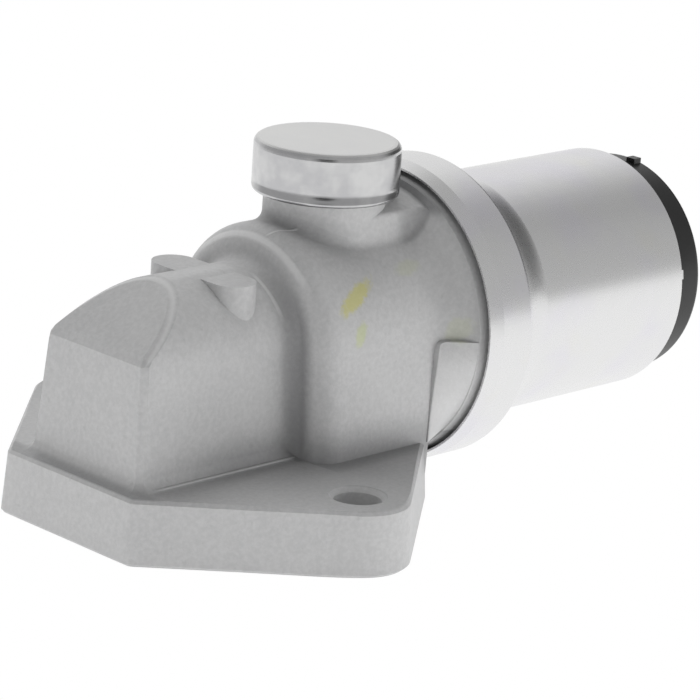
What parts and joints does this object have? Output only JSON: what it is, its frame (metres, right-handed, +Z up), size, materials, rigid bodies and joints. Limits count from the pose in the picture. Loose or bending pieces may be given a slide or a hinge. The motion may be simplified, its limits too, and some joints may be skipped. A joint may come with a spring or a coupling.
{
  "type": "idle air control valve",
  "caption": "Solenoid idle air control valve: cast alloy body on a bolt-down flange, capped boss, crimped steel coil can and a black plug socket.",
  "frame": {"origin": "on the mounting plane, midway between the two bolt holes", "axes": "+Z up from the mounting face, +X along the valve axis towards the connector, bolt holes spread along Y"},
  "size_m": [0.1158, 0.0712, 0.0499],
  "materials": {
    "cast_body": "fine blasted die casting, matt with a faint sheen",
    "seal_rubber": "matt black rubber",
    "pressed_cap": "bright plated pressing, satin",
    "machined_steel": "turned steel",
    "spool_alloy": "turned alloy",
    "ground_stem": "ground stainless steel",
    "spring_steel": "oil-blued spring steel",
    "soft_iron": "plated soft iron",
    "bush_bronze": "sintered bronze",
    "shim_brass": "brass sheet",
    "tube_steel": "drawn stainless tube",
    "yoke_steel": "stamped steel",
    "bobbin_plastic": "moulded plastic",
    "winding_copper": "enamelled copper wire",
    "zinc_can": "bright zinc plate over drawn steel",
    "connector_plastic": "satin black moulding",
    "terminal_tin": "tin-plated brass"
  },
  "bodies": {
    "housing": {"valve_body": "cast_body", "front_port_seal": "seal_rubber", "rear_port_seal": "seal_rubber", "boss_cap": "pressed_cap", "cap_seal": "seal_rubber", "metering_sleeve": "machined_steel", "front_bush": "bush_bronze", "rear_bush": "bush_bronze", "return_spring": "spring_steel", "core_shim": "shim_brass", "pole_core": "soft_iron", "guide_tube": "tube_steel", "front_yoke": "yoke_steel", "rear_yoke": "yoke_steel", "coil_bobbin": "bobbin_plastic", "coil_winding": "winding_copper", "solenoid_can": "zinc_can", "can_seal": "seal_rubber", "connector_body": "connector_plastic", "terminal_left": "terminal_tin", "terminal_right": "terminal_tin"},
    "shuttle": {"valve_stem": "ground_stem", "metering_spool": "spool_alloy", "spool_clips": "spring_steel", "armature": "soft_iron"}
  },
  "joints": [
    {"name": "spool_slide", "type": "slide", "parent": "housing", "child": "shuttle", "axis": [1, 0, 0], "range_m": [0, 0.0045], "stiffness_N_per_m": 800, "springref_m": -0.006, "deforming": ["return_spring"]}
  ]
}
